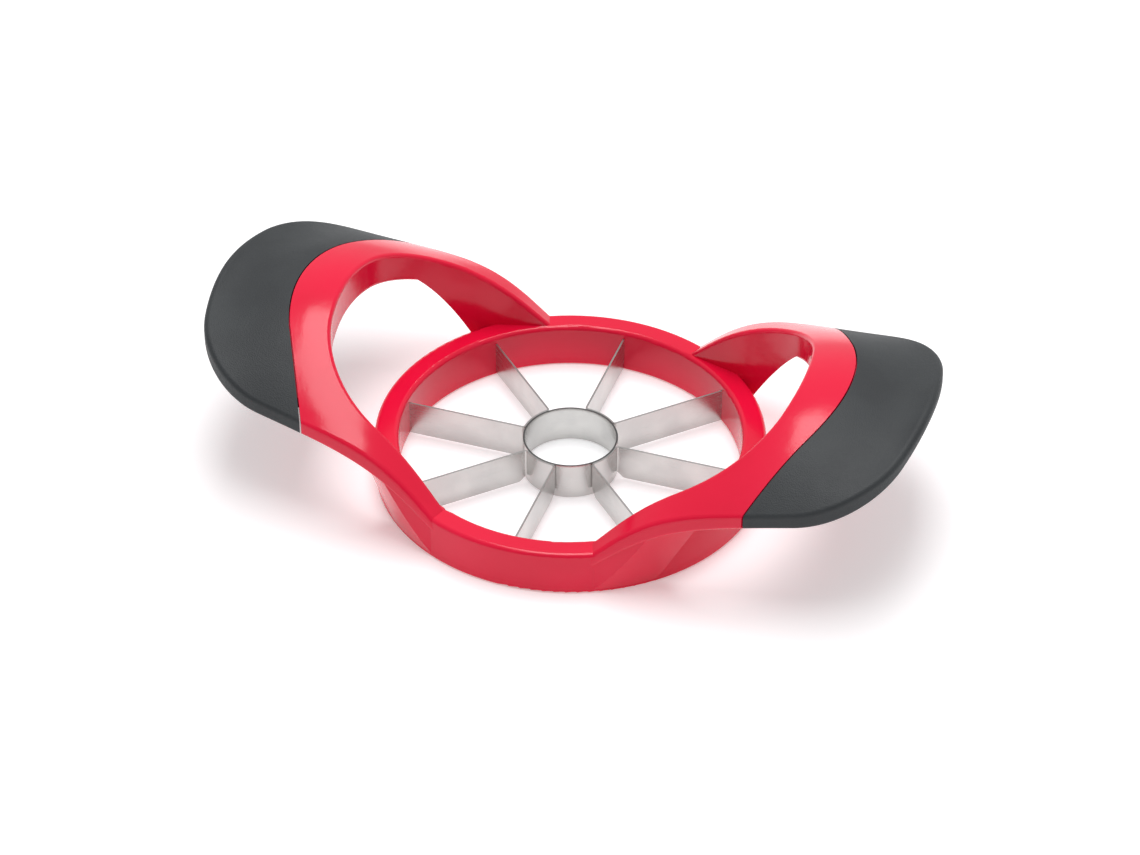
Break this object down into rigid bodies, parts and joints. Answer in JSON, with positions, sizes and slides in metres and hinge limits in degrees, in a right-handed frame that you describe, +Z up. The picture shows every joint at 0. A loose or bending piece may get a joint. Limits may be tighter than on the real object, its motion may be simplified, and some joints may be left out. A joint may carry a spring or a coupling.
{
  "type": "apple slicer corer",
  "caption": "Round plastic rim crossed by radial steel blades round a coring tube, with two arched wings and soft grips; pressed down over an apple it cores and wedges it.",
  "frame": {"origin": "on the surface it stands on, under the middle of the coring tube", "axes": "+X along the wings to the right grip, +Y across the wings to the back, +Z up"},
  "size_m": [0.1922, 0.1026, 0.0461],
  "materials": {
    "red_plastic": "glossy, moulded in one colour",
    "grip_rubber": "fine matt grain, soft to the touch",
    "blade_steel": "bright rolled strip"
  },
  "bodies": {
    "root": {"frame": "red_plastic", "grip_right": "grip_rubber", "grip_left": "grip_rubber", "core_ring": "blade_steel", "blade_strip_1": "blade_steel", "blade_strip_2": "blade_steel", "blade_strip_3": "blade_steel", "blade_strip_4": "blade_steel"}
  },
  "joints": []
}
